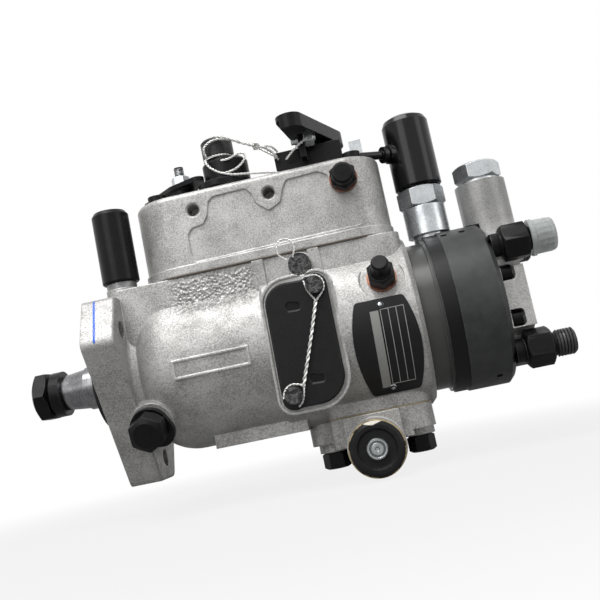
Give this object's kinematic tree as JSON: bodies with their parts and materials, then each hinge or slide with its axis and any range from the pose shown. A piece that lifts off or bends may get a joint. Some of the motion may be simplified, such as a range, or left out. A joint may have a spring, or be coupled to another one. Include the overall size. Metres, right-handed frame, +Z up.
{
  "type": "diesel injection pump",
  "caption": "Rotary diesel injection pump with flanged drive end, governor cover with levers, stop solenoid, advance unit and delivery unions around the head.",
  "frame": {"origin": "On the drive shaft's axis, in the mounting face of the flange.", "axes": "+X runs along the drive shaft from the drive end to the hydraulic head, +Z points up through the governor cover, -Y is the side with the side cover plate and the name plate."},
  "size_m": [0.2917, 0.1139, 0.1955],
  "materials": {
    "cast_aluminium": "as cast, mottled and slightly rough",
    "machined_aluminium": "cast and machined, light grey",
    "bright_steel": "ground bright steel",
    "black_steel": "black phosphated steel, lightly oiled",
    "black_painted_steel": "black finish, satin",
    "zinc_steel": "zinc plated, slightly yellow",
    "grey_steel": "plain grey steel",
    "seal_wire": "pale twisted wire",
    "name_plate": "black coated aluminium with a blank grid",
    "copper": "copper, dull",
    "bronze": "plain bronze",
    "gasket_paper": "pressed fibre gasket",
    "seal_rubber": "black rubber",
    "black_sleeve": "black plastic, satin",
    "black_gloss": "black, glossy",
    "clear_cap": "milky green-white plastic, slightly translucent"
  },
  "bodies": {
    "housing": {"pump_housing": "cast_aluminium", "shaft_seals": "seal_rubber", "shaft_bearing": "bronze", "cover_gasket": "gasket_paper", "governor_cover": "cast_aluminium", "cover_screws": "black_steel", "cover_plug": "black_steel", "sealing_washers": "copper", "side_cover_plate": "black_painted_steel", "tamper_screws": "grey_steel", "seal_wire_lower": "seal_wire", "seal_wire_upper": "seal_wire", "name_plate": "name_plate", "vent_screw": "black_steel", "shaft_lock_screw": "black_steel", "return_connector": "black_steel", "return_sleeve": "black_sleeve", "hydraulic_head": "black_steel", "head_sleeve": "bright_steel", "end_plate": "machined_aluminium", "end_plate_screws": "black_steel", "inlet_adaptor": "zinc_steel", "transfer_pump_liner": "bright_steel", "delivery_unions": "black_steel", "solenoid_body": "zinc_steel", "solenoid_can": "black_gloss", "advance_housing": "cast_aluminium", "advance_gasket": "gasket_paper", "advance_bolts": "black_steel", "advance_caps": "black_steel", "advance_spring": "grey_steel", "governor_pivot": "grey_steel", "adjuster_body": "black_steel", "adjuster_cap": "black_steel", "speed_stop_bracket": "black_painted_steel", "speed_stop_screw": "zinc_steel"},
    "rotor": {"drive_shaft": "bright_steel", "shaft_nut": "black_steel", "shaft_washer": "black_steel", "governor_cage": "bright_steel", "distributor_rotor": "bright_steel", "transfer_rotor": "bright_steel"},
    "weight_1": {"governor_weight_1": "bright_steel"},
    "weight_2": {"governor_weight_2": "bright_steel"},
    "sleeve": {"thrust_sleeve": "bright_steel"},
    "arm": {"governor_arm": "bright_steel"},
    "link": {"link_rod": "bright_steel"},
    "valve": {"metering_valve": "bright_steel"},
    "pumping_plunger_1": {"plunger_1": "bright_steel"},
    "pumping_plunger_2": {"plunger_2": "bright_steel"},
    "cam_roller_1": {"roller_1": "bright_steel"},
    "cam_roller_2": {"roller_2": "bright_steel"},
    "cam": {"cam_ring": "bright_steel"},
    "piston": {"advance_piston": "bright_steel"},
    "throttle": {"throttle_shaft": "bright_steel", "throttle_lever": "black_painted_steel"},
    "stop": {"stop_lever": "black_painted_steel", "stop_lever_nut": "zinc_steel"},
    "fuel_stop_plunger": {"solenoid_plunger": "bright_steel"},
    "thread_cap": {"union_cap": "clear_cap"}
  },
  "joints": [
    {"name": "rotor_spin", "type": "hinge", "parent": "housing", "child": "rotor", "pos_m": [0, 0, 0], "axis": [1, 0, 0], "continuous": true},
    {"name": "arm_tilt", "type": "hinge", "parent": "housing", "child": "arm", "pos_m": [0.074, 0, 0.05], "axis": [0, -1, 0], "range_deg": [0, 4.5]},
    {"name": "weight_1_swing", "type": "hinge", "parent": "rotor", "child": "weight_1", "pos_m": [0.043, 0, 0.028], "axis": [0, -1, 0], "range_deg": [0, 15]},
    {"name": "weight_2_swing", "type": "hinge", "parent": "rotor", "child": "weight_2", "pos_m": [0.043, 0, -0.028], "axis": [0, 1, 0], "range_deg": [0, 15]},
    {"name": "sleeve_slide", "type": "slide", "parent": "housing", "child": "sleeve", "axis": [1, 0, 0], "range_m": [0, 0.0036]},
    {"name": "link_slide", "type": "slide", "parent": "housing", "child": "link", "axis": [-1, 0, 0], "range_m": [0, 0.00115]},
    {"name": "valve_turn", "type": "hinge", "parent": "housing", "child": "valve", "pos_m": [0.154, 0, 0.04], "axis": [0, 0, 1], "range_deg": [0, 7.3]},
    {"name": "plunger_1_slide", "type": "slide", "parent": "rotor", "child": "pumping_plunger_1", "axis": [0, 0, 1], "range_m": [0, 0.002]},
    {"name": "plunger_2_slide", "type": "slide", "parent": "rotor", "child": "pumping_plunger_2", "axis": [0, 0, -1], "range_m": [0, 0.002]},
    {"name": "roller_1_spin", "type": "hinge", "parent": "pumping_plunger_1", "child": "cam_roller_1", "pos_m": [0.1335, 0, 0.022], "axis": [1, 0, 0], "continuous": true},
    {"name": "roller_2_spin", "type": "hinge", "parent": "pumping_plunger_2", "child": "cam_roller_2", "pos_m": [0.1335, 0, -0.022], "axis": [1, 0, 0], "continuous": true},
    {"name": "cam_turn", "type": "hinge", "parent": "housing", "child": "cam", "pos_m": [0.1335, 0, 0], "axis": [1, 0, 0], "range_deg": [-6, 0]},
    {"name": "piston_slide", "type": "slide", "parent": "housing", "child": "piston", "axis": [0, 1, 0], "range_m": [-0.0066, 0]},
    {"name": "throttle_turn", "type": "hinge", "parent": "housing", "child": "throttle", "pos_m": [0.137, 0.006, 0.1], "axis": [0, 0, 1], "range_deg": [0, 38]},
    {"name": "stop_turn", "type": "hinge", "parent": "housing", "child": "stop", "pos_m": [0.056, -0.008, 0.097], "axis": [0, 0, 1], "range_deg": [-35, 0]},
    {"name": "solenoid_lift", "type": "slide", "parent": "housing", "child": "fuel_stop_plunger", "axis": [0, 0, 1], "range_m": [0, 0.0015], "stiffness_N_per_m": 300, "springref_m": -0.002},
    {"name": "cap_pull", "type": "slide", "parent": "housing", "child": "thread_cap", "axis": [1, 0, 0], "range_m": [0, 0.02]}
  ],
  "couplings": [
    {"joint": "weight_1_swing", "follows": "arm_tilt", "ratio": 3.3333},
    {"joint": "weight_2_swing", "follows": "arm_tilt", "ratio": 3.3333},
    {"joint": "sleeve_slide", "follows": "arm_tilt", "m_per_rad": 0.045},
    {"joint": "link_slide", "follows": "arm_tilt", "m_per_rad": 0.0145},
    {"joint": "valve_turn", "follows": "arm_tilt", "ratio": 1.6111},
    {"joint": "plunger_2_slide", "follows": "plunger_1_slide", "ratio": 1},
    {"joint": "piston_slide", "follows": "cam_turn", "m_per_rad": 0.061}
  ]
}
